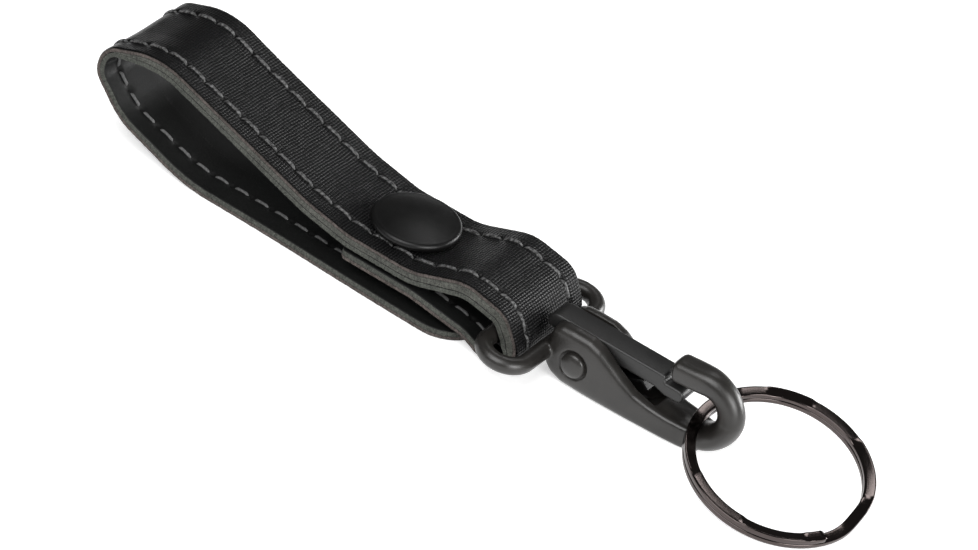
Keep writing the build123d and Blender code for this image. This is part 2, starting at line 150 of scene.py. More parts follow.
class Shader:
    """One material with a Principled surface, built up by named methods."""

    def __init__(self, name: str) -> None:
        """Start an empty material.

        Args:
            name: the material's name.
        """
        self.material = bpy.data.materials.new(name)
        self.material.use_nodes = True
        self.tree = self.material.node_tree
        self.tree.nodes.clear()
        output = self.tree.nodes.new("ShaderNodeOutputMaterial")
        self.surface = self.tree.nodes.new("ShaderNodeBsdfPrincipled")
        self.tree.links.new(self.surface.outputs[0], output.inputs[0])

    def node(self, kind: str, settings: dict[str, Any] | None = None, **sockets: Any) -> Any:
        """Add a node.

        Args:
            kind: the node's type.
            settings: properties set before its sockets; "stops" fills a colour ramp.
            sockets: values or links by socket name, with underscores for spaces.

        Returns:
            The new node.
        """
        made = self.tree.nodes.new(kind)
        for key, value in (settings or {}).items():
            if key == "stops":
                ramp = made.color_ramp.elements
                while len(ramp) < len(value):
                    ramp.new(0.5)
                for stop, (place, colour) in zip(ramp, value):
                    stop.position = place
                    stop.color = colour
            else:
                setattr(made, key, value)
        for name, value in sockets.items():
            socket = made.inputs[name.replace("_", " ")]
            self.feed(socket, value)
        return made

    def feed(self, socket: Any, value: Any) -> None:
        """Link or set one socket."""
        if isinstance(value, Value):
            self.tree.links.new(value.socket, socket)
        elif isinstance(value, bpy.types.NodeSocket):
            self.tree.links.new(value, socket)
        else:
            socket.default_value = value

    def set(self, **sockets: Any) -> "Shader":
        """Set or link sockets of the Principled surface."""
        for name, value in sockets.items():
            self.feed(self.surface.inputs[name.replace("_", " ")], value)
        return self

    def uv(self) -> tuple[Value, Value]:
        """The piece's own map, in millimetres along and across."""
        split = self.node("ShaderNodeSeparateXYZ", Vector=self.node("ShaderNodeUVMap").outputs[0])
        along, across = (Value(self.tree, split.outputs[axis]) for axis in (0, 1))
        return along / UV_SCALE, across / UV_SCALE

    def uv_vector(self, along: float, across: float) -> Any:
        """The piece's own map, stretched for streaky patterns."""
        vector = self.node("ShaderNodeUVMap").outputs[0]
        scale = (along / UV_SCALE, across / UV_SCALE, 1)
        return self.node("ShaderNodeMapping", Vector=vector, Scale=scale).outputs[0]

    def place(self) -> Any:
        """Object coordinates."""
        return self.node("ShaderNodeTexCoord").outputs["Object"]

    def noise(self, vector: Any, scale: float, detail: float = 3.0, roughness: float = 0.55) -> Value:
        """Soft noise between zero and one."""
        made = self.node("ShaderNodeTexNoise", Vector=vector, Scale=scale, Detail=detail, Roughness=roughness)
        return Value(self.tree, made.outputs[0])

    def ramp(self, factor: Value, *stops: tuple[float, tuple[float, float, float]]) -> Any:
        """Colours picked by a factor."""
        full = [(place, (*colour, 1.0)) for place, colour in stops]
        return self.node("ShaderNodeValToRGB", {"stops": full}, Fac=factor).outputs[0]

    def mix(self, factor: Value | float, first: Any, second: Any) -> Any:
        """Blend two colours."""
        made = self.node("ShaderNodeMix", {"data_type": "RGBA"})
        self.feed(made.inputs[0], factor)
        self.feed(made.inputs[6], first)
        self.feed(made.inputs[7], second)
        return made.outputs[2]

    def attribute(self, name: str) -> Value:
        """A number stored on the mesh's points."""
        made = self.node("ShaderNodeAttribute", {"attribute_name": name})
        return Value(self.tree, made.outputs["Fac"])

    def bump(self, height: Value, distance: float, strength: float = 1.0) -> "Shader":
        """Drive the surface's normal from a height, with its depth in metres."""
        made = self.node("ShaderNodeBump", Height=height, Distance=distance, Strength=strength)
        return self.set(Normal=made.outputs[0])


def grey(level: float, warmth: float = 0.0) -> tuple[float, float, float, float]:
    """A near-neutral colour.

    Args:
        level: how light it is.
        warmth: how far red rises and blue falls, as a share.

    Returns:
        The colour with full alpha.
    """
    return (level * (1 + warmth), level, level * (1 - warmth), 1.0)


# ---- Finishes ----
@dataclass(frozen=True)
class WovenFacing:
    """Black laminate pressed in a woven pattern, rubbed smooth where it bends over the wrist, with the
    weave's crowns lightened as a painted highlight.
    """

    smooth_from: float
    smooth_to: float
    fade_in: float = 6.0
    fade_out: float = 9.0
    rubbing: float = 0.75
    rib_pitch: float = 0.52
    pick_pitch: float = 0.62
    relief: float = 0.00013

    def build(self) -> bpy.types.Material:
        """Make the material."""
        shader = Shader("woven_facing")
        along, across = shader.uv()
        drift = shader.noise(shader.uv_vector(0.3, 0.3), 0.8, 1.0) * 0.5
        rib = ((along + drift) * (math.pi / self.rib_pitch)).sin().abs().power(0.7)
        over = ((across + drift * 0.5) * (math.pi / self.pick_pitch)).sin().abs().power(0.7)
        rubbed = ((along - self.smooth_from) / self.fade_in).clamped()
        rubbed = rubbed * ((self.smooth_to - along) / self.fade_out).clamped()
        weave = 1.0 - rubbed * self.rubbing
        height = (rib * 0.25 + over * rib * 0.75) * weave
        fine = shader.noise(shader.uv_vector(1, 1), 4.5, 4.0, 0.7)
        worn = shader.noise(shader.uv_vector(0.35, 0.35), 0.6, 4.0)
        hole = shader.attribute("hole")
        # Painted highlight: the weave's crowns are lighter in the base colour; the fine noise adds a random
        # speckle of tone.
        crown_highlight_and_speckle = ((over * rib * 0.75 + (fine - 0.5) * 1.6 - 0.34).clamped() * weave).clamped()
        base = shader.ramp(crown_highlight_and_speckle, (0.02, (0.0010, 0.0010, 0.0011)), (0.25, (0.0052, 0.0052, 0.0055)),
                           (0.6, (0.038, 0.038, 0.038)))
        # Painted shade: the base colour goes darker inside the needle holes.
        base = shader.mix(hole, base, grey(0.0005))
        rough = (0.46 - over * rib * 0.10 + (worn - 0.5) * 0.26 - rubbed * 0.06 + hole * 0.4).clamped()
        shader.set(Base_Color=base, Roughness=rough, Specular_IOR_Level=0.24)
        shader.bump(height + fine * 0.25 - hole * 0.5, self.relief)
        return shader.material


@dataclass(frozen=True)
class LiningSkin:
    """Smooth black skin on the inside of the strap, with painted shade in its needle holes."""

    dark: tuple[float, float, float] = (0.0025, 0.0027, 0.0026)
    light: tuple[float, float, float] = (0.006, 0.0063, 0.006)
    relief: float = 0.00004

    def build(self) -> bpy.types.Material:
        """Make the material."""
        shader = Shader("lining_skin")
        grain = shader.noise(shader.uv_vector(1, 1), 2.6, 6.0, 0.62)
        cloud = shader.noise(shader.uv_vector(1, 1), 0.12, 2.0)
        hole = shader.attribute("hole")
        # Painted shade: the base colour goes darker inside the needle holes.
        base = shader.mix(hole, shader.ramp(grain, (0.3, self.dark), (0.75, self.light)), grey(0.0008))
        rough = (0.46 + grain * 0.16 + (cloud - 0.5) * 0.2 + hole * 0.4).clamped()
        shader.set(Base_Color=base, Roughness=rough, Specular_IOR_Level=0.25)
        shader.bump(grain - hole * 0.5, self.relief)
        return shader.material


@dataclass(frozen=True)
class CutEdge:
    """The cut edge of a ply, matt and fibrous."""

    name: str
    dark: tuple[float, float, float]
    light: tuple[float, float, float]
    fleck: float = 1.1
    relief: float = 0.00018

    def build(self) -> bpy.types.Material:
        """Make the material."""
        shader = Shader(self.name)
        streak = shader.noise(shader.uv_vector(1.0, 0.45), 2.6, 6.0, 0.78)
        cloud = shader.noise(shader.uv_vector(0.2, 0.2), 1.6, 3.0)
        speck = shader.noise(shader.uv_vector(1, 1), 7.0, 3.0, 0.7)
        factor = (streak * 1.25 + cloud * 0.3 + (speck - 0.5) * self.fleck - 0.28).clamped()
        shader.set(
            Base_Color=shader.ramp(factor, (0.3, self.dark), (0.78, self.light)),
            Roughness=(0.72 + speck * 0.25).clamped(), Specular_IOR_Level=0.3,
        )
        shader.bump(streak + speck * 0.8, self.relief)
        return shader.material


@dataclass(frozen=True)
class Thread:
    """Bonded black thread with pale broken fibres, and the crowns of its twist lightened as a painted
    highlight.
    """

    name: str
    dark: float
    light: float
    twist: float
    fuzz: float
    relief: float = 0.0001

    def build(self) -> bpy.types.Material:
        """Make the material."""
        shader = Shader(self.name)
        along, around = shader.uv()
        loose = shader.noise(shader.uv_vector(0.5, 0.5), 1.3, 3.0)
        twist = (along * 6.0 + around * (2 * math.pi) + loose * 9.0).sin() * 0.5 + 0.5
        fibre = shader.noise(shader.uv_vector(0.8, 1.4), 2.6, 5.0, 0.75)
        middle = (self.twist + self.fuzz) / 2
        # The twist term lightens the strand crowns as a painted highlight; the fibre noise is the thread's
        # own pale fuzz.
        fibre_and_crown_highlight = (twist * self.twist + fibre * self.fuzz + 0.5 - middle).clamped()
        shader.set(
            Base_Color=shader.ramp(fibre_and_crown_highlight, (0.3, grey(self.dark)[:3]), (0.8, grey(self.light)[:3])),
            Roughness=0.55, Specular_IOR_Level=0.45,
        )
        shader.bump(twist * self.twist + fibre * 0.4, self.relief)
        return shader.material


@dataclass(frozen=True)
class BlackCoat:
    """Satin black coating over cast or pressed metal."""

    name: str
    level: float = 0.017
    roughness: float = 0.42
    warmth: float = 0.03
    gloss: float = 0.55
    grain: float = 0.000012

    def build(self) -> bpy.types.Material:
        """Make the material."""
        shader = Shader(self.name)
        place = shader.place()
        fine = shader.noise(place, 9000.0, 3.0, 0.6)
        cloud = shader.noise(place, 260.0, 3.0, 0.5)
        rub = shader.noise(place, 1500.0, 5.0, 0.75)
        worn = ((rub - 0.62) * 5.0).clamped() * 0.4
        low, high = grey(self.level * 0.8, self.warmth), grey(self.level * 1.35, self.warmth)
        base = shader.ramp(cloud, (0.3, low[:3]), (0.75, high[:3]))
        base = shader.mix(worn, base, grey(self.level * 2.4, self.warmth))
        rough = (self.roughness + (cloud - 0.5) * 0.16 + (fine - 0.5) * 0.08).clamped()
        shader.set(Base_Color=base, Roughness=rough, Specular_IOR_Level=self.gloss)
        shader.bump(fine + rub * 0.5, self.grain)
        return shader.material


@dataclass(frozen=True)
class BrightMetal:
    """Plated or polished metal."""

    name: str
    colour: tuple[float, float, float]
    roughness: float = 0.2
    smear: float = 0.12
    relief: float = 0.000006

    def build(self) -> bpy.types.Material:
        """Make the material."""
        shader = Shader(self.name)
        place = shader.place()
        cloud = shader.noise(place, 420.0, 4.0, 0.6)
        scratch = shader.noise(place, 5200.0, 4.0, 0.7)
        base = shader.ramp(cloud, (0.3, tuple(c * 0.86 for c in self.colour)), (0.7, self.colour))
        rough = (self.roughness + (cloud - 0.5) * self.smear + (scratch - 0.5) * 0.05).clamped()
        shader.set(Base_Color=base, Roughness=rough, Metallic=1.0)
        shader.bump(scratch + cloud * 0.6, self.relief)
        return shader.material


# ---- Mesh helpers ----
def smoothstep(low: float, high: float, value: float) -> float:
    """Ease from zero at low to one at high."""
    share = min(max((value - low) / (high - low), 0.0), 1.0)
    return share * share * (3 - 2 * share)


def mapped_grid(
    bm: bmesh.types.BMesh, along: int, around: int, shape: Callable[[float, float], Vector],
    uv: Callable[[float, float], Point2] | None = None,
    material: Callable[[float, float], int] | None = None,
) -> None:
    """Add a grid and bend it into a shape.

    Args:
        bm: the mesh that takes the grid.
        along: faces along the first direction.
        around: faces along the second direction.
        shape: place of a point, in metres, from its two shares between zero and one.
        uv: map position from the same shares.
        material: material index of a face from the shares of its middle.
    """
    made = bmesh.ops.create_grid(bm, x_segments=along, y_segments=around, size=0.5)["verts"]
    layer = bm.loops.layers.uv.verify()
    faces = {face for vert in made for face in vert.link_faces}
    shares = {vert: (vert.co.x + 0.5, vert.co.y + 0.5) for vert in made}
    for face in faces:
        face.smooth = True
        middle = face.calc_center_median()
        if material:
            face.material_index = material(middle.x + 0.5, middle.y + 0.5)
        if uv:
            for loop in face.loops:
                loop[layer].uv = uv(*shares[loop.vert])
    for vert in made:
        vert.co = shape(*shares[vert])


def close_up(bm: bmesh.types.BMesh, distance: float = 0.000002) -> None:
    """Weld touching edges, fill open ends and point every face outwards.

    Args:
        bm: the mesh.
        distance: points nearer than this become one.
    """
    bmesh.ops.remove_doubles(bm, verts=bm.verts, dist=distance)
    bmesh.ops.dissolve_degenerate(bm, edges=bm.edges, dist=distance / 2)
    open_edges = [edge for edge in bm.edges if edge.is_boundary]
    if open_edges:
        bmesh.ops.holes_fill(bm, edges=open_edges, sides=0)
    bmesh.ops.recalc_face_normals(bm, faces=bm.faces)


def make_object(
    name: str, bm: bmesh.types.BMesh, materials: Sequence[bpy.types.Material]
) -> bpy.types.Object:
    """Turn a bmesh into an object at the origin.

    Args:
        name: the piece's name.
        bm: its mesh, which is freed.
        materials: its material slots.

    Returns:
        The new object.
    """
    mesh = bpy.data.meshes.new(name)
    bm.to_mesh(mesh)
    bm.free()
    for material in materials:
        mesh.materials.append(material)
    made = bpy.data.objects.new(name, mesh)
    bpy.context.scene.collection.objects.link(made)
    return made


def bake_modifiers(piece: bpy.types.Object) -> None:
    """Replace a piece's mesh by its finished shape and drop its modifiers."""
    graph = bpy.context.evaluated_depsgraph_get()
    finished = bpy.data.meshes.new_from_object(piece.evaluated_get(graph))
    piece.modifiers.clear()
    piece.data = finished


def settle(
    piece: bpy.types.Object, body: Body, slot: str, replaced: Iterable[str] = ()
) -> bpy.types.Object:
    """Fasten a finished piece to its body.

    Args:
        piece: the object.
        body: what it rides on.
        slot: the record's material slot that it belongs to; not used.
        replaced: CAD nodes that it stands for.

    Returns:
        The same object.
    """
    if body is Body.HINGE:
        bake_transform(piece)
    else:
        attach(piece, body.value)
    if replaced:
        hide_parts(*replaced)
    log.info("%s: %d faces on %s", piece.name, len(piece.data.polygons), body.value)
    return piece


def dress(node: str, material: bpy.types.Material) -> None:
    """Give a CAD node its finish.

    Args:
        node: the node's name.
        material: the only material that it keeps.
    """
    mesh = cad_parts[node].data
    mesh.materials.clear()
    mesh.materials.append(material)


class FilletedPath:
    """A flat line of straight runs and tangent arcs, followed by its length."""

    def __init__(self, corners: Sequence[tuple[float, float, float]]) -> None:
        """Lay out the line.

        Args:
            corners: x, y and bend radius of each corner; the ends have no bend.
        """
        self.pieces: list[tuple[float, float, Vector, Vector, float]] = []
        self.length = 0.0
        points = [Vector(corner[:2]) for corner in corners]
        start = points[0]
        for index in range(1, len(points)):
            here = points[index]
            bend = corners[index][2] if index < len(points) - 1 else 0.0
            way_in = (here - points[index - 1]).normalized()
            reach, turn = 0.0, 0.0
            if bend:
                way_out = (points[index + 1] - here).normalized()
                turn = math.atan2(way_in.x * way_out.y - way_in.y * way_out.x, way_in.dot(way_out))
                reach = bend * math.tan(abs(turn) / 2)
            stop = here - way_in * reach
            self._add(start, way_in, (stop - start).length, 0.0)
            if bend:
                self._add(stop, way_in, bend * abs(turn), math.copysign(1 / bend, turn))
                start = here + way_out * reach

    def _add(self, start: Vector, way: Vector, length: float, curvature: float) -> None:
        """Append one run or arc."""
        self.pieces.append((self.length, self.length + length, start, way, curvature))
        self.length += length

    def at(self, distance: float) -> tuple[Vector, Vector]:
        """Follow the line.

        Args:
            distance: how far from the start.

        Returns:
            The point there and the line's direction.
        """
        for begin, end, start, way, curvature in self.pieces:
            if distance <= end or end == self.length:
                gone = distance - begin
                if not curvature:
                    return start + way * gone, way.copy()
                angle = gone * curvature
                side = Vector((-way.y, way.x))
                offset = way * (math.sin(angle) / curvature) + side * ((1 - math.cos(angle)) / curvature)
                turned = way * math.cos(angle) + side * math.sin(angle)
                return start + offset, turned
        raise ValueError("distance is past the end of the path")


# ---- The strap as a flat blank ----
@dataclass
class Blank:
    """The strap's flat pattern and the route that bends it."""

    width: float = 19.0
    facing: float = 0.8
    lining: float = 0.9
    arm_core: float = 1.0
    fold_core: float = 1.3
    tail_tip: float = 17.5
    tail_corner: float = 7.0
    tip_corner: float = 1.5
    return_tip: float = -7.2
    stitch_margin: float = 3.3
    stitch_pitch: float = 4.1
    tail_drift: float = 1.2
    tip_shift: float = 1.0
    wrist_lift: float = 0.75
    wrist_slide: float = 0.7
    near_swell: float = 0.035
    dent_depth: float = 0.42
    dent_spread: float = 0.20
    pucker_depth: float = 0.10
    pucker_spread: float = 0.9
    groove_light: float = 0.05
    groove_tight: float = 0.17
    groove_spread: float = 0.16
    bin_size: float = 2.0
    corners: list[tuple[float, float, float]] = field(default_factory=list)
    route: FilletedPath = field(init=False)
    seam: FilletedPath = field(init=False)
    holes: list[Point2] = field(init=False)
    bins: dict[int, list[Point2]] = field(init=False)

    def __post_init__(self) -> None:
        """Lay out the side-view route, then the seam and its needle holes."""
        self.corners = [
            (self.tail_tip, 0.0, 0.0), (-37.5, 0.0, 28.0), (-51.3, 5.0, 12.0), (-57.6, 11.3, 5.2),
            (-57.6, 16.9, 4.2), (-46.7, 20.8, 15.0), (-14.8, 10.5, 30.0), (-6.1, 8.85, 15.0),
            (6.1, 8.85, 12.0), (15.8, 12.4, 9.0), (23.9, 10.8, 5.0), (27.3, 5.9, 6.0), (27.3, 0.7, 3.0),
            (20.8, 0.7, 6.0), (17.2, 2.4, 8.0), (6.8, 3.75, 15.0), (self.return_tip, 3.75, 0.0),
        ]
        self.route = FilletedPath(self.corners)
        row = self.width / 2 - self.stitch_margin
        tail_row = row - self.tail_drift
        bend = self.tail_corner - self.stitch_margin
        far = self.route.length - self.stitch_margin
        drift_end = self.s_at_corner(1) - 6.0
        drift_start = self.s_at_corner(3)
        side = [
            (far, row, 0.0), (drift_start, row, 60.0), (drift_end, tail_row, 60.0),
            (self.stitch_margin, tail_row, bend),
        ]
        self.seam = FilletedPath([(s, -y, r) for s, y, r in side] + side[::-1])
        count = round(self.seam.length / self.stitch_pitch)
        step = self.seam.length / count
        self.holes = [tuple(self.seam.at(min(i * step, self.seam.length))[0]) for i in range(count + 1)]
        self.bins = {}
        for hole in self.holes:
            for key in (-1, 0, 1):
                self.bins.setdefault(int(hole[0] // self.bin_size) + key, []).append(hole)

    def s_at_corner(self, index: int) -> float:
        """Distance along the blank to the middle of one bend of the route."""
        arc = [piece for piece in self.route.pieces if piece[4]][index - 1]
        return (arc[0] + arc[1]) / 2

    def cut(self) -> float:
        """Where the fixed and bending parts meet: the upright run of the wrist bend."""
        return self.s_at_corner(3) + 2.4

    def core(self, s: float) -> float:
        """Thickness of the core at a distance along the blank."""
        rise = smoothstep(self.s_at_corner(4) - 1.0, self.s_at_corner(5), s)
        swell = smoothstep(self.s_at_corner(8), self.s_at_corner(9), s)
        drop = smoothstep(self.s_at_corner(12), self.s_at_corner(11), s)
        return (self.arm_core * rise + (self.fold_core - self.arm_core) * swell) * drop

    def half_width(self, s: float) -> float:
        """Half of the blank's width, which narrows round both ends."""
        half = self.width / 2
        for gone, corner in ((s, self.tail_corner), (self.route.length - s, self.tip_corner)):
            if gone < corner:
                inner = max(corner * corner - (corner - gone) ** 2, 0.0)
                half = min(half, self.width / 2 - corner + math.sqrt(inner))
        return half

    def bend(self, s: float, y: float, depth: float) -> Vector:
        """Where a point of the flat blank goes on the finished strap.

        Args:
            s: distance along the blank.
            y: distance across it.
            depth: distance below the outside face.

        Returns:
            The point, in metres.
        """
        point, way = self.route.at(min(max(s, 0.0), self.route.length))
        inward = Vector((way.y, -way.x))
        flat = point + inward * depth
        side = y / (self.width / 2)
        wrist = smoothstep(-34.0, -54.0, flat.x)
        top = smoothstep(11.0, 18.0, flat.y)
        rise = wrist * top * self.wrist_lift * max(side, -0.2)
        slide = -wrist * (1 - top) * self.wrist_slide * max(-side, 0.0)
        tip = smoothstep(-30.0, 12.0, flat.x) * smoothstep(80.0, 60.0, s)
        wide = 1.0 + self.near_swell * smoothstep(0.0, 1.0, side) * smoothstep(6.0, 10.0, flat.y)
        return Vector((flat.x + slide, y * wide - self.tip_shift * tip, flat.y + rise)) * MM

    def hole_dent(self, s: float, y: float) -> float:
        """How much the thread pulls a skin in at a point.

        Args:
            s: distance along the blank.
            y: distance across it.

        Returns:
            The dent's depth in millimetres.
        """
        dent = 0.0
        for hole_s, hole_y in self.bins.get(int(s // self.bin_size), []):
            gap2 = (hole_s - s) ** 2 + (hole_y - y) ** 2
            if gap2 < HOLE_REACH2:
                dent += self.dent_depth * math.exp(-gap2 / self.dent_spread)
                dent += self.pucker_depth * math.exp(-gap2 / self.pucker_spread)
        return dent + self.groove(s, y)

    def groove(self, s: float, y: float) -> float:
        """Depth of the shallow channel that the tight thread presses along the seam.

        Args:
            s: distance along the blank.
            y: distance across it.

        Returns:
            The channel's depth in millimetres.
        """
        if s < self.s_at_corner(2):
            return 0.0
        tight = smoothstep(self.s_at_corner(9) - 3, self.s_at_corner(10), s)
        pull = self.groove_light + self.groove_tight * tight
        pull *= smoothstep(self.s_at_corner(11) + 4, self.s_at_corner(11), s)
        pull = max(pull, self.groove_light)
        row = self.width / 2 - self.stitch_margin
        return pull * math.exp(-((abs(y) - row) ** 2) / self.groove_spread)


@dataclass
class PlyMaker:
    """Makes one ply of the strap between two lengths of the blank."""

    blank: Blank
    top: Callable[[float], float]
    bottom: Callable[[float], float]
    outer_skin: bool
    inner_skin: bool
    step: float = 0.30
    corner: float = 0.22
    skin_steps: int = 62
    edge_steps: int = 5
    ragged: float = 0.075
    trim: float = 0.03
    ripple: float = 0.02
    inner_dent: float = 0.85

    def _section(self) -> list[tuple[float, float, int, int]]:
        """Points round the ply's section.

        Returns:
            Share across, share through, material index of the face that follows, and 1 on an edge.
        """
        skin, edge = self.skin_steps, self.edge_steps
        points = [(-1 + 2 * i / skin, 0.0, 0, 0) for i in range(skin)]
        points += [(1.0, i / edge, 1, 1) for i in range(edge)]
        points += [(1 - 2 * i / skin, 1.0, 0, 0) for i in range(skin)]
        points += [(-1.0, 1 - i / edge, 1, 1) for i in range(edge)]
        return points

    def build(
        self, name: str, start: float, end: float, materials: Sequence[bpy.types.Material]
    ) -> bpy.types.Object:
        """Make the ply.

        Args:
            name: the piece's name.
            start: where it begins along the blank.
            end: where it ends.
            materials: skin and edge.

        Returns:
            The new object.
        """
        blank, section = self.blank, self._section()
        count = len(section)
        rows = max(2, round((end - start) / self.step))
        bm = bmesh.new()
        dark = bm.verts.layers.float.new("hole")

        def flat(u: float, v: float) -> tuple[float, float, float]:
            """Flat place of a grid point: s, y and depth."""
            s = start + (end - start) * u
            across, through, _, on_edge = section[round(v * count) % count]
            half = blank.half_width(s)
            high, low = self.top(s), self.bottom(s)
            y = across * half
            depth = high + (low - high) * through
            near_edge = min(half - abs(y), self.corner)
            inner = max(self.corner**2 - (self.corner - near_edge) ** 2, 0.0)
            round_off = self.corner - math.sqrt(inner)
            if on_edge:
                ragged = noise.noise(Vector((s * 2.3, through * 2.2, across * 7.0 + low)))
                ragged += 0.6 * noise.noise(Vector((s * 7.0, through * 5.0, across * 3.0 + low)))
                y += across * (self.ragged * ragged - self.trim)
                depth = high + (low - high) * min(max(through, 0.08), 0.92)
            elif through == 0.0:
                dent = blank.hole_dent(s, y) if self.outer_skin else 0.0
                lift = self.ripple * noise.noise(Vector((s * 0.25, y * 0.3, 1.7)))
                lift = lift if s > 60 else 0.0
                depth += dent + (round_off if self.outer_skin else 0.0) + lift
            else:
                dent = blank.hole_dent(s, y) if self.inner_skin else 0.0
                depth -= dent * self.inner_dent + (round_off if self.inner_skin else 0.0)
            return s, y, depth

        def shape(u: float, v: float) -> Vector:
            """Bent place of a grid point."""
            return blank.bend(*flat(u, v))

        def uv(u: float, v: float) -> Point2:
            """Millimetres along and across, or along and through on an edge."""
            s = start + (end - start) * u
            index = round(v * count)
            across, through, *_ = section[index % count]
            if index == count:
                across, through = -1.0, 0.0
            wide = across * blank.width / 2
            high, low = self.top(s), self.bottom(s)
            extra = (high + (low - high) * through) * (1 if across > 0 else -1)
            return (s * UV_SCALE, (wide + extra) * UV_SCALE)

        def material(u: float, v: float) -> int:
            """Skin or edge."""
            return section[int(v * count) % count][2]

        mapped_grid(bm, rows, count, shape, uv, material)
        self._mark_holes(bm, dark)
        close_up(bm)
        for face in bm.faces:
            if len(face.verts) > 4:
                face.material_index = 1
        return make_object(name, bm, materials)

    def _mark_holes(self, bm: bmesh.types.BMesh, layer: Any) -> None:
        """Store on each point how far it lies inside a needle hole, the mask for the painted shade in the
        holes.
        """
        centres = []
        for s, y in self.blank.holes:
            for depth, used in ((self.top(s), self.outer_skin), (self.bottom(s), self.inner_skin)):
                if used:
                    centres.append(self.blank.bend(s, y, depth) / MM)
        size = self.blank.bin_size
        bins: dict[tuple[int, ...], list[Vector]] = {}
        for centre in centres:
            for shift in itertools.product((-1, 0, 1), repeat=3):
                key = tuple(int(part // size) + move for part, move in zip(centre, shift))
                bins.setdefault(key, []).append(centre)
        for vert in bm.verts:
            place = vert.co / MM
            best = 0.0
            for centre in bins.get(tuple(int(part // size) for part in place), ()):
                best = max(best, math.exp(-(place - centre).length_squared / HOLE_SHADE))
            vert[layer] = best


@dataclass
class Strap:
    """Facing, core and lining of the strap, in a fixed part and a part from the tail tip to the wrist bend.
    """

    blank: Blank

    def build(self) -> None:
        """Build and dress every ply."""
        blank = self.blank
        total = blank.route.length
        facing = WovenFacing(blank.s_at_corner(3) - 10.0, blank.s_at_corner(5) + 4.0).build()
        facing_edge = CutEdge("facing_edge", (0.022, 0.018, 0.016), (0.145, 0.122, 0.112)).build()
        core_edge = CutEdge("core_edge", (0.022, 0.023, 0.020), (0.125, 0.128, 0.112)).build()
        skin = LiningSkin().build()
        lining_edge = CutEdge("lining_edge", (0.018, 0.020, 0.017), (0.11, 0.115, 0.10)).build()

        def face_back(_: float) -> float:
            """Depth of the back of the facing."""
            return blank.facing

        def core_back(s: float) -> float:
            """Depth of the back of the core."""
            return blank.facing + blank.core(s)

        def lining_back(s: float) -> float:
            """Depth of the strap's inside face."""
            return blank.facing + blank.core(s) + blank.lining

        cut = blank.cut()
        plies = (
            ("facing", PlyMaker(blank, lambda s: 0.0, face_back, True, False), (facing, facing_edge)),
            ("lining", PlyMaker(blank, core_back, lining_back, False, True), (skin, lining_edge)),
        )
        for name, maker, materials in plies:
            bending = maker.build(f"{name}_bending", 0.0, cut, materials)
            settle(bending, Body.HINGE, name, (f"tail_{name}",))
            fixed = maker.build(f"{name}_fixed", cut, total, materials)
            settle(fixed, Body.STRAP, name, (f"strap_{name}",))
        core = PlyMaker(blank, face_back, core_back, False, False, step=0.5)
        begin, finish = blank.s_at_corner(4) + 1.5, blank.s_at_corner(12) - 2.0
        middle = core.build("core_fixed", begin, finish, (core_edge, core_edge))
        settle(middle, Body.STRAP, "core", ("strap_core",))


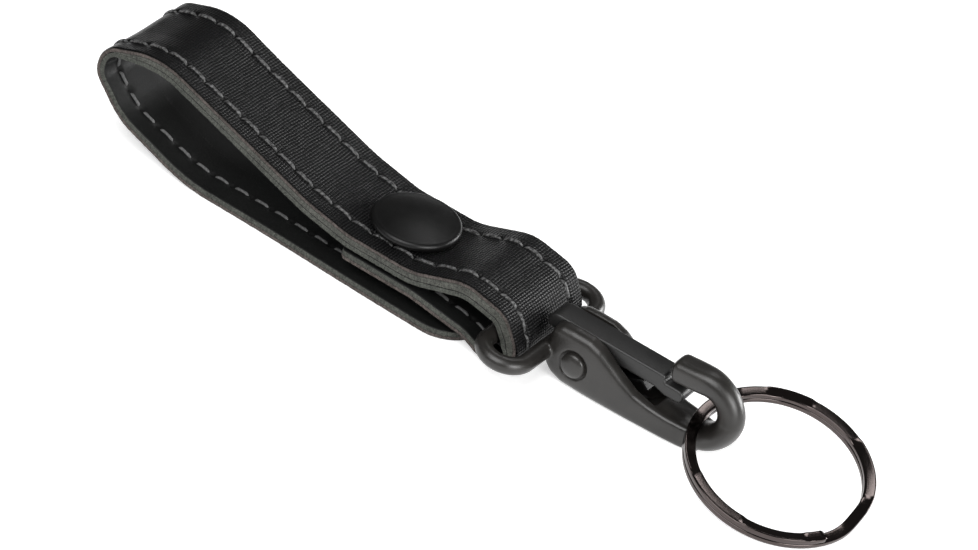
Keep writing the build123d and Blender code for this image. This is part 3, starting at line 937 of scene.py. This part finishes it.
@dataclass
class Stitching:
    """Lockstitch thread on both faces of the strap, one length between each two needle holes."""

    blank: Blank
    half_width: float = 0.31
    half_height: float = 0.25
    reach_in: float = 0.46
    inside_width: float = 0.85
    outer_share: float = 0.93
    inner_share: float = 0.72
    outer_proud: float = 0.13
    inner_proud: float = 0.14
    tail_proud: float = -0.14
    fold_sink: float = 0.2
    lobe: float = 0.09
    along: int = 9
    around: int = 8

    def _length(self, bm: bmesh.types.BMesh, first: float, last: float, outside: bool) -> None:
        """Add one stitch.

        Args:
            bm: the mesh that takes it.
            first: its first needle hole's distance along the seam.
            last: its last needle hole's distance.
            outside: whether it lies on the outside face.
        """
        blank = self.blank
        middle_s = blank.seam.at((first + last) / 2)[0].x
        face = 0.0 if outside else blank.facing + blank.core(middle_s) + blank.lining
        sign = 1.0 if outside else -1.0
        fold = smoothstep(blank.s_at_corner(9) - 3, blank.s_at_corner(10), middle_s)
        proud = self.outer_proud - self.fold_sink * fold if outside else self.inner_proud
        if outside and middle_s < blank.s_at_corner(1):
            proud = self.tail_proud
        share = self.outer_share if outside else self.inner_share
        width = self.half_width * (1.0 if outside else self.inside_width)
        phase = noise.noise(Vector((first * 3.1, 0.3, 1.0 if outside else 5.0)))
        inset = (last - first) * (1 - share) / 2

        def shape(u: float, v: float) -> Vector:
            """Place of a point on the thread's surface."""
            distance = first + inset + (last - first - 2 * inset) * u
            place, way = blank.seam.at(min(max(distance, 0.0), blank.seam.length))
            end = abs(2 * u - 1)
            sink = self.reach_in * end**5
            swell = 1.0 - 0.45 * end**6
            angle = 2 * math.pi * v
            side = Vector((-way.y, way.x))
            lobes = 1.0 + self.lobe * math.cos(2 * angle + 9 * u + phase * 3)
            across = math.cos(angle) * width * swell * lobes
            rise = math.sin(angle) * self.half_height * swell * lobes
            drift = 0.06 * phase * (1 - end) + 0.05 * math.sin(7 * u + 9 * phase) * (1 - end)
            flat = place + side * (across + drift)
            base = face
            if not outside:
                base = blank.facing + blank.core(flat.x) + blank.lining
            return blank.bend(flat.x, flat.y, base + sign * (sink - proud + 0.05 - rise))

        def uv(u: float, v: float) -> Point2:
            """Along and around the thread."""
            return ((first + (last - first) * u) * UV_SCALE, v * UV_SCALE)

        mapped_grid(bm, self.along, self.around, shape, uv, lambda u, v: 0 if outside else 1)

    def build(self) -> None:
        """Build both faces' stitches for each half of the seam and for the tail."""
        outer = Thread("thread", 0.003, 0.15, 0.2, 2.4).build()
        inner = Thread("thread_inside", 0.06, 0.14, 0.15, 0.6).build()
        blank = self.blank
        count = len(blank.holes) - 1
        step = blank.seam.length / count
        cut = blank.cut()
        groups = {"near": bmesh.new(), "far": bmesh.new(), "tail": bmesh.new()}
        for i in range(count):
            first, last = i * step, (i + 1) * step
            middle = blank.seam.at((first + last) / 2)[0]
            group = "tail" if middle.x < cut else ("near" if middle.y < 0 else "far")
            for outside in (True, False):
                self._length(groups[group], first, last, outside)
        names = {"near": "stitching_near", "far": "stitching_far", "tail": "tail_stitching"}
        for group, bm in groups.items():
            close_up(bm)
            piece = make_object(f"stitches_{group}", bm, [outer, inner])
            body = Body.HINGE if group == "tail" else Body.STRAP
            settle(piece, body, "thread", (names[group],))


# ---- Snap fastener ----
def turned(
    name: str, outline: Sequence[Point2], material: bpy.types.Material, segments: int
) -> bpy.types.Object:
    """Spin an outline that starts and ends on the upright axis through the origin.

    Args:
        name: the piece's name.
        outline: radius and height of each corner, in millimetres.
        material: its finish.
        segments: steps round the axis.

    Returns:
        The new object.
    """
    bm = bmesh.new()
    verts = [bm.verts.new((r * MM, 0, z * MM)) for r, z in outline]
    edges = [bm.edges.new(pair) for pair in zip(verts, verts[1:])]
    bmesh.ops.spin(
        bm, geom=verts + edges, cent=(0, 0, 0), axis=(0, 0, 1), angle=2 * math.pi, steps=segments,
        use_merge=True,
    )
    close_up(bm)
    for face in bm.faces:
        face.smooth = True
    return make_object(name, bm, [material])


def arc_points(centre: Point2, radius: float, start: float, end: float, count: int) -> list[Point2]:
    """Points of an arc.

    Args:
        centre: its centre.
        radius: its radius.
        start: its first angle, in degrees.
        end: its last angle, in degrees.
        count: how many steps it has.

    Returns:
        The points, ends included.
    """
    steps = [math.radians(start + (end - start) * i / count) for i in range(count + 1)]
    return [(centre[0] + radius * math.cos(a), centre[1] + radius * math.sin(a)) for a in steps]


@dataclass
class Snap:
    """Cap, socket and spring on the strap; stud and rivet post on the tail."""

    seat: float = 8.85
    cap_radius: float = 7.4
    cap_height: float = 3.05
    roll: float = 0.78
    rim_height: float = 1.42
    seat_radius: float = 4.1
    seat_gap: float = 0.02

    def build(self) -> None:
        """Build the cap and dress the metal parts."""
        coat = BlackCoat("cap_coat", level=0.003, roughness=0.38, warmth=0.0, gloss=0.3).build()
        rim = self.seat + self.rim_height
        edge = self.cap_radius - self.roll
        dome_z = self.seat + self.cap_height
        rise = dome_z - rim - self.roll
        dome_radius = (edge**2 + rise**2) / (2 * rise)
        sweep = math.degrees(math.asin(edge / dome_radius))
        dome = arc_points((0, dome_z - dome_radius), dome_radius, 90, 90 - sweep, 18)
        roll = arc_points((edge, rim), self.roll, 90 - sweep * 0.6, -85, 12)
        foot = self.seat + self.seat_gap
        under = [(6.2, self.seat + 0.75), (4.2, self.seat + 0.7), (self.seat_radius, foot), (0.0, foot)]
        outline = [(max(r, 0.0), z) for r, z in dome + roll + under]
        outline[0] = (0.0, dome_z)
        cap = turned("cap_dome", outline, coat, 128)
        settle(cap, Body.STRAP, "cap_black", ("snap_cap",))
        nickel = BrightMetal("snap_nickel", (0.78, 0.75, 0.72), 0.16).build()
        steel = BrightMetal("spring_steel", (0.55, 0.55, 0.56), 0.25).build()
        for node in ("snap_socket", "snap_stud", "snap_post"):
            dress(node, nickel)
        dress("socket_spring", steel)


# ---- Snap hook ----
def tube(
    bm: bmesh.types.BMesh, path: Callable[[float], Vector], radius: Callable[[float, float], float],
    along: int, around: int, up: Vector,
) -> None:
    """Add a tube of changing section round a path.

    Args:
        bm: the mesh.
        path: point in millimetres at a share of the path.
        radius: radius in millimetres at a share of the path and an angle.
        along: steps along the path.
        around: steps round the section.
        up: a direction that the path never takes.
    """
    def shape(u: float, v: float) -> Vector:
        """Place of a point on the tube."""
        centre = path(u)
        way = (path(min(u + SMALL_SHARE, 1.0)) - path(max(u - SMALL_SHARE, 0.0))).normalized()
        side = way.cross(up).normalized()
        over = side.cross(way)
        angle = 2 * math.pi * v
        reach = radius(u, angle)
        return (centre + (side * math.cos(angle) + over * math.sin(angle)) * reach) * MM

    mapped_grid(bm, along, around, shape)


@dataclass
class Hook:
    """Cast body with its eye, bow and nose, the rivet, the gate and the leaf spring."""

    eye_x: float = 21.85
    eye_z: float = 5.2
    eye_rod: float = 1.45
    eye_half_width: float = 13.3
    eye_depth: float = 7.4
    eye_tilt: float = 4.0
    bow_x: float = 55.4
    bow_z: float = 7.25
    bow_radius: float = 5.1
    bow_rod: float = 2.15
    tip_x: float = 49.3
    tip_drop: float = 0.9
    pin_x: float = 34.7
    pin_z: float = 4.9
    half_width: float = 4.8
    head_seat: float = 2.6
    pocket: float = 2.4
    sink_depth: float = 0.9
    squareness: float = 5.5
    nose_round: float = 1.1
    shank_radius: float = 1.2
    head_radius: float = 2.2
    head_height: float = 1.0
    head_root: float = 0.6
    head_inset: float = 0.12
    gate_clearance: float = 0.15
    gate_bevel: float = 0.42
    voxel: float = 0.185
    soft_passes: int = 7

    def _body_loft(self) -> bpy.types.Object:
        """The solid body before its pocket: a section that changes along the hook."""
        stations = [
            # x, underside, top, half width
            (29.3, 2.9, 8.2, 4.0), (29.9, 1.9, 9.8, 4.6), (31.0, 0.9, 10.35, 4.8), (33.0, 0.15, 10.5, 4.85),
            (36.4, 0.0, 10.45, 4.85), (38.4, 0.0, 9.75, 4.8), (40.5, 0.0, 8.35, 4.65), (42.8, 0.0, 6.8, 4.45),
            (45.5, 0.0, 5.35, 4.2), (48.2, 0.0, 4.65, 3.95), (51.5, 0.0, 4.25, 3.7), (54.6, 0.0, 4.15, 3.35),
            (57.2, 0.2, 4.1, 2.7),
        ]

        def station(x: float) -> tuple[float, float, float]:
            """Underside, top and half width at a place along the hook."""
            for before, after in zip(stations, stations[1:]):
                if x <= after[0]:
                    share = (x - before[0]) / (after[0] - before[0])
                    return tuple(before[k] + (after[k] - before[k]) * share for k in (1, 2, 3))
            return stations[-1][1:]

        bm = bmesh.new()
        first, last = stations[0][0], stations[-1][0]

        def shape(u: float, v: float) -> Vector:
            """Place of a point on the rounded-square section."""
            x = first + (last - first) * u
            low, high, half = station(x)
            angle = 2 * math.pi * v
            power = 2 / self.squareness
            c, s = math.cos(angle), math.sin(angle)
            y = half * math.copysign(abs(c) ** power, c)
            z = (low + high) / 2 + (high - low) / 2 * math.copysign(abs(s) ** power, s)
            return Vector((x, y, z)) * MM

        mapped_grid(bm, 90, 64, shape)
        close_up(bm)
        return make_object("hook_casting", bm, [])

    def _slab(self, bm: bmesh.types.BMesh, outline: Sequence[Vector], half: float) -> None:
        """Add a flat outline thickened to both sides of the hook's middle.

        Args:
            bm: the mesh.
            outline: its corners in side view, in millimetres.
            half: half of its thickness.
        """
        verts = [bm.verts.new(Vector((point.x, -half, point.y)) * MM) for point in outline]
        face = bm.faces.new(verts)
        grown = bmesh.ops.extrude_face_region(bm, geom=[face])["geom"]
        moved = [item for item in grown if isinstance(item, bmesh.types.BMVert)]
        bmesh.ops.translate(bm, verts=moved, vec=(0, 2 * half * MM, 0))

    def _pocket_cutter(self) -> bpy.types.Object:
        """The space between the ears, as a solid to cut away."""
        outline = FilletedPath([
            (26.0, 20.0, 0.0), (26.0, 6.7, 0.3), (31.4, 6.7, 0.6), (31.4, 1.2, 1.0), (45.6, 1.2, 2.0),
            (49.4, 4.9, 1.5), (49.4, 20.0, 0.0),
        ])
        bm = bmesh.new()
        steps = 90
        self._slab(bm, [outline.at(outline.length * i / steps)[0] for i in range(steps + 1)], self.pocket)
        for side in (-1, 1):
            sink = bmesh.ops.create_cone(
                bm, cap_ends=True, segments=48, radius1=self.head_seat * MM, radius2=self.head_seat * MM,
                depth=self.sink_depth * MM,
            )["verts"]
            place = Vector((self.pin_x, side * (self.half_width + 0.15), self.pin_z)) * MM
            turn = Matrix.Translation(place) @ Matrix.Rotation(math.pi / 2, 4, "X")
            bmesh.ops.transform(bm, matrix=turn, verts=sink)
        bmesh.ops.recalc_face_normals(bm, faces=bm.faces)
        return make_object("pocket_cutter", bm, [])

    def _eye(self, bm: bmesh.types.BMesh) -> None:
        """The rod bent into a flat loop for the strap."""
        wide, deep, bend = self.eye_half_width, self.eye_depth, self.eye_depth / 2
        loop = FilletedPath([
            (0, 0, 0), (0, wide, bend), (deep, wide, bend), (deep, -wide, bend), (0, -wide, bend), (0, 0, 0),
        ])
        tilt = math.radians(self.eye_tilt)

        def path(u: float) -> Vector:
            """Middle of the rod."""
            point = loop.at(loop.length * (u % 1.0))[0]
            return Vector((
                self.eye_x + point.x * math.cos(tilt), point.y, self.eye_z - point.x * math.sin(tilt)
            ))

        def shape(u: float, v: float) -> Vector:
            """Place of a point on the rod."""
            centre = path(u)
            way = (path(u + SMALL_SHARE) - path(u - SMALL_SHARE)).normalized()
            side = way.cross(Vector((0, 0, 1))).normalized()
            over = side.cross(way)
            angle = 2 * math.pi * v
            return (centre + (side * math.cos(angle) + over * math.sin(angle)) * self.eye_rod) * MM

        mapped_grid(bm, 200, 28, shape)

    def _bow(self, bm: bmesh.types.BMesh) -> None:
        """The bow and its nose, from inside the body round to the blunt tip."""
        low = self.bow_z - self.bow_radius
        top = self.bow_z + self.bow_radius
        reach = self.bow_radius
        path_line = FilletedPath([
            (self.bow_x - 5.0, low, 0.0), (self.bow_x + reach, low, reach * 0.999),
            (self.bow_x + reach, top, reach * 0.995), (self.tip_x - 0.1, top - self.tip_drop, 0.0),
        ])

        def path(u: float) -> Vector:
            """Middle of the rod."""
            point = path_line.at(path_line.length * u)[0]
            return Vector((point.x, 0, point.y))

        def radius(u: float, angle: float) -> float:
            """Section: broad where it leaves the body, round at the bend and flat-topped at the nose."""
            gone, left = u * path_line.length, (1 - u) * path_line.length
            blunt = 1.0
            if left < self.nose_round:
                blunt = math.sqrt(max(1 - (1 - left / self.nose_round) ** 2, 0.0))
            broad = 1.0 + 0.42 * smoothstep(17.0, 6.0, gone) + 0.13 * smoothstep(11.0, 4.0, left)
            flat = 1.0 - 0.08 * smoothstep(8.0, 2.0, left)
            power = 2.0 + 1.1 * smoothstep(9.0, 3.0, left)
            wide = abs(math.cos(angle)) / broad
            high = abs(math.sin(angle)) / flat
            return self.bow_rod * (wide**power + high**power) ** (-1 / power) * max(blunt, 0.45)

        tube(bm, path, radius, 140, 40, Vector((0, 0, 1)))

    def build_body(self, coat: bpy.types.Material) -> None:
        """Cut, join and smooth the casting."""
        casting = self._body_loft()
        cutter = self._pocket_cutter()
        cut = casting.modifiers.new("pocket", "BOOLEAN")
        cut.operation = "DIFFERENCE"
        cut.solver = "EXACT"
        cut.object = cutter
        bake_modifiers(casting)
        bpy.data.objects.remove(cutter)
        bm = bmesh.new()
        bm.from_mesh(casting.data)
        extra = bmesh.new()
        self._eye(extra)
        self._bow(extra)
        close_up(extra)
        rods = bpy.data.meshes.new("rods")
        extra.to_mesh(rods)
        extra.free()
        bm.from_mesh(rods)
        bm.to_mesh(casting.data)
        bm.free()
        remesh = casting.modifiers.new("skin", "REMESH")
        remesh.mode = "VOXEL"
        remesh.voxel_size = self.voxel * MM
        remesh.use_smooth_shade = True
        smooth = casting.modifiers.new("soft", "SMOOTH")
        smooth.factor = 0.5
        smooth.iterations = self.soft_passes
        bake_modifiers(casting)
        casting.data.materials.clear()
        casting.data.materials.append(coat)
        for polygon in casting.data.polygons:
            polygon.use_smooth = True
        settle(casting, Body.HOOK, "hook_black", ("hook_body",))

    def build_pin(self, coat: bpy.types.Material) -> None:
        """The rivet, with a low dome set in a faint ring on each ear."""
        bm = bmesh.new()
        centre = Vector((self.pin_x, 0, self.pin_z)) * MM
        profile = arc_points((0, 0), 1.0, 90, 20, 8)
        heads = [(self.head_radius * c, self.head_height * s) for c, s in profile]
        outline = heads + [(self.head_radius, -self.head_root), (0.0, -self.head_root)]
        for side in (-1, 1):
            verts = [
                bm.verts.new(
                    Vector((self.pin_x + r, side * (self.half_width - self.head_inset + h), self.pin_z)) * MM
                )
                for r, h in outline
            ]
            verts[0].co.x = verts[-1].co.x = self.pin_x * MM
            edges = [bm.edges.new(pair) for pair in zip(verts, verts[1:])]
            bmesh.ops.spin(
                bm, geom=verts + edges, cent=centre, axis=(0, 1, 0), angle=2 * math.pi, steps=48,
                use_merge=True,
            )
        shank = bmesh.ops.create_cone(
            bm, cap_ends=True, segments=32, radius1=self.shank_radius * MM, radius2=self.shank_radius * MM,
            depth=2 * self.half_width * MM,
        )["verts"]
        turn = Matrix.Translation(centre) @ Matrix.Rotation(math.pi / 2, 4, "X")
        bmesh.ops.transform(bm, matrix=turn, verts=shank)
        close_up(bm)
        for face in bm.faces:
            face.smooth = len(face.verts) < 5
        settle(make_object("rivet", bm, [coat]), Body.HOOK, "hook_black", ("gate_pin",))

    def build_gate(self, coat: bpy.types.Material) -> None:
        """The gate: a bar with a lip under the nose and a hub round the rivet."""
        outline = FilletedPath([
            (30.0, 7.4, 0.0), (27.4, 7.5, 0.5), (27.3, 10.2, 1.7), (48.9, 10.2, 0.4), (49.05, 9.0, 0.25),
            (52.7, 8.95, 0.95), (52.7, 6.8, 0.95), (49.4, 6.8, 1.2), (47.6, 7.4, 1.2), (38.6, 7.4, 0.8),
            (37.4, 5.6, 0.6), (36.6, 2.5, 1.2), (32.8, 2.5, 1.2), (32.0, 5.6, 0.6), (31.0, 7.4, 0.5),
            (30.0, 7.4, 0.0),
        ])
        bm = bmesh.new()
        steps = 150
        points = [outline.at(outline.length * i / steps)[0] for i in range(steps)]
        self._slab(bm, points, self.pocket - self.gate_clearance)
        bmesh.ops.recalc_face_normals(bm, faces=bm.faces)
        rims = [edge for edge in bm.edges if any(len(f.verts) > 4 for f in edge.link_faces)]
        bmesh.ops.bevel(
            bm, geom=rims, offset=self.gate_bevel * MM, segments=4, affect="EDGES", profile=0.5, material=-1
        )
        for face in bm.faces:
            face.smooth = True
        gate = make_object("gate_bar", bm, [coat])
        settle(gate, Body.GATE, "hook_black", ("gate",))

    def build(self) -> None:
        """Build and dress the hook."""
        coat = BlackCoat("hook_coat", level=0.012, roughness=0.34, warmth=0.10).build()
        gate_coat = BlackCoat("gate_coat", level=0.0085, roughness=0.42, warmth=0.02).build()
        self.build_body(coat)
        self.build_pin(coat)
        self.build_gate(gate_coat)
        # Painted shade: the leaf spring's steel is made near black to stand for the shade inside the pocket.
        dress("gate_spring", BrightMetal("leaf_steel_painted_shade", (0.05, 0.05, 0.05), 0.45).build())


# ---- Split ring ----
@dataclass
class SplitRing:
    """A flat wire wound twice round, stepping from one turn to the other."""

    outer_radius: float = 15.2
    wire_width: float = 1.85
    wire_height: float = 0.93
    turn_gap: float = 0.05
    roll: float = math.sin(math.radians(7.6))
    pitch: float = 0.13501
    wire_x: float = 55.6
    side_shift: float = 0.95
    first_angle: float = 18.0
    last_angle: float = 692.0
    step_from: float = 346.0
    step_to: float = 376.0
    step_depth: float = 0.22
    step_ease: float = 0.2
    squareness: float = 6.0
    end_share: float = 0.0016
    end_taper: float = 0.12
    inset: float = 0.02
    lean: float = 11.0
    flat_ease: float = 1.5
    flats: tuple[Point2, ...] = (
        (-41.0, -28.0), (-3.0, 19.0), (65.0, 102.0), (131.0, 151.0), (170.0, 196.0), (235.0, 279.0),
    )

    def build(self) -> None:
        """Wind the wire and dress it."""
        bm = bmesh.new()
        circle = self.outer_radius - self.wire_width / 2
        upright = math.sqrt(1 - self.pitch**2 - self.roll**2)
        level = math.sqrt(1 - self.pitch**2)
        half = self.wire_height + self.turn_gap / 2
        lowest = self.outer_radius * math.hypot(self.pitch, self.roll) + half * upright
        centre = Vector((self.wire_x + circle * level, self.side_shift, lowest))
        normal = Vector((self.pitch, -self.roll, upright))
        across = Vector((level, self.pitch * self.roll / level, -self.pitch * upright / level))
        along = normal.cross(across)
        lift = (self.wire_height + self.turn_gap) / 2
        step_from, step_to = math.radians(self.step_from), math.radians(self.step_to)

        def shape(u: float, v: float) -> Vector:
            """Place of a point on the wire."""
            angle = math.radians(self.first_angle + (self.last_angle - self.first_angle) * u)
            rise = -lift + 2 * lift * smoothstep(step_from, step_to, angle)
            passed = smoothstep(step_from - self.step_ease, step_to + self.step_ease, angle)
            jog = self.step_depth * math.sin(math.pi * passed) ** 2
            round_angle = (math.degrees(angle) + 60.0) % 360.0 - 60.0
            ease = self.flat_ease
            flat = sum(
                smoothstep(begin - ease, begin + ease, round_angle)
                * smoothstep(end + ease, end - ease, round_angle)
                for begin, end in self.flats
            )
            lean = math.tan(math.radians(self.lean)) * (1 - flat)
            turned_angle = 2 * math.pi * v
            power = 2 / self.squareness
            c, s = math.cos(turned_angle), math.sin(turned_angle)
            blunt = smoothstep(0.0, self.end_share, min(u, 1 - u)) * self.end_taper + 1 - self.end_taper
            out = self.wire_width / 2 * blunt * math.copysign(abs(c) ** power, c)
            high = self.wire_height / 2 * blunt * math.copysign(abs(s) ** power, s)
            if rise > 0 and high > 0:
                high += out * lean
            reach = circle - self.inset - jog + out
            outward = across * math.cos(angle) + along * math.sin(angle)
            return (centre + outward * reach + normal * (rise + high)) * MM

        mapped_grid(bm, 460, 40, shape)
        close_up(bm)
        metal = BrightMetal("black_nickel", (0.085, 0.071, 0.068), 0.10, 0.08).build()
        settle(make_object("double_ring", bm, [metal]), Body.RING, "ring_nickel", ("split_ring",))


# ---- Studio ----
@dataclass(frozen=True)
class SoftLight:
    """One soft box, placed by the way it faces the object."""

    name: str
    azimuth: float
    height: float
    distance: float
    size: float
    power: float


@dataclass
class Studio:
    """Camera, floor and soft lights."""

    target: Vector = field(default_factory=lambda: Vector((14.64, 0.0, 8.35)))
    azimuth: float = 25.89
    elevation: float = 35.03
    roll: float = 14.55
    distance: float = 587.4
    lens: float = 138.25
    sky: float = 0.10
    floor_glow: float = 0.5
    floor_gap: float = 0.02

    def build(self, floor_z: float) -> None:
        """Set up everything round the object.

        Args:
            floor_z: height of the resting plane, in metres.
        """
        self._camera()
        self._floor(floor_z)
        lights = (
            SoftLight("key", 262.0, 52.0, 1.4, 1.0, 17.0),
            SoftLight("front", -22.0, 24.0, 0.9, 0.45, 6.5),
            SoftLight("side", 52.0, 6.0, 0.8, 0.4, 7.0),
            SoftLight("back", 107.0, 56.0, 1.0, 0.22, 0.75),
        )
        bpy.context.scene.view_settings.view_transform = "Standard"
        for light in lights:
            self._light(light)
        world = bpy.data.worlds.new("studio")
        bpy.context.scene.world = world
        world.use_nodes = True
        world.node_tree.nodes["Background"].inputs[0].default_value = (1, 1, 1, 1)
        world.node_tree.nodes["Background"].inputs[1].default_value = self.sky

    def _camera(self) -> None:
        """Place the camera and make it the scene's own."""
        azimuth, elevation, roll = (math.radians(a) for a in (self.azimuth, self.elevation, self.roll))
        flat = Vector((math.sin(azimuth), -math.cos(azimuth), 0))
        back = flat * math.cos(elevation) + Vector((0, 0, math.sin(elevation)))
        right = Vector((math.cos(azimuth), math.sin(azimuth), 0))
        up = back.cross(right)
        rolled_right = right * math.cos(roll) + up * math.sin(roll)
        rolled_up = up * math.cos(roll) - right * math.sin(roll)
        data = bpy.data.cameras.new("camera")
        data.lens = self.lens
        data.sensor_width = 36.0
        data.dof.use_dof = False
        data.clip_start = 0.01
        camera = bpy.data.objects.new("camera", data)
        bpy.context.scene.collection.objects.link(camera)
        turn = Matrix((rolled_right, rolled_up, back)).transposed().to_4x4()
        camera.matrix_world = Matrix.Translation((self.target + back * self.distance) * MM) @ turn
        bpy.context.scene.camera = camera

    def _floor(self, floor_z: float) -> None:
        """A wide pale floor."""
        bm = bmesh.new()
        bmesh.ops.create_grid(bm, x_segments=2, y_segments=2, size=6.0)
        bmesh.ops.translate(bm, verts=bm.verts, vec=(0, 0, floor_z - self.floor_gap * MM))
        shader = Shader("pale_floor")
        shader.set(
            Base_Color=grey(0.9), Roughness=0.9, Emission_Color=grey(1.0), Emission_Strength=self.floor_glow
        )
        floor = make_object("floor", bm, [shader.material])
        floor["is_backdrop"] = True

    def _light(self, light: SoftLight) -> None:
        """Add one area light that faces the object."""
        azimuth, height = math.radians(light.azimuth), math.radians(light.height)
        level = math.cos(height)
        way = Vector((math.cos(azimuth) * level, math.sin(azimuth) * level, math.sin(height)))
        data = bpy.data.lights.new(light.name, "AREA")
        data.size = light.size
        data.energy = light.power
        lamp = bpy.data.objects.new(light.name, data)
        bpy.context.scene.collection.objects.link(lamp)
        lamp.location = self.target * MM + way * light.distance
        lamp.rotation_euler = way.to_track_quat("Z", "Y").to_euler()


def main() -> None:
    """Build the keychain in order."""
    logging.basicConfig(level=logging.INFO, format="%(message)s")
    cad_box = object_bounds()
    Studio().build(cad_box[0][2])
    blank = Blank()
    Strap(blank).build()
    Stitching(blank).build()
    Snap().build()
    Hook().build()
    SplitRing().build()


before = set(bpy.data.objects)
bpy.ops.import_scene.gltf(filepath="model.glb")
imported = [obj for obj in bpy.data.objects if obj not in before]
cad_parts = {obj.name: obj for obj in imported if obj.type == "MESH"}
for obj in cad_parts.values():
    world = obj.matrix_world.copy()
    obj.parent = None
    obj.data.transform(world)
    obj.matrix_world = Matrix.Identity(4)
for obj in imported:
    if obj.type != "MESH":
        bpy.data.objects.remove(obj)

if __name__ == "__main__":
    main()
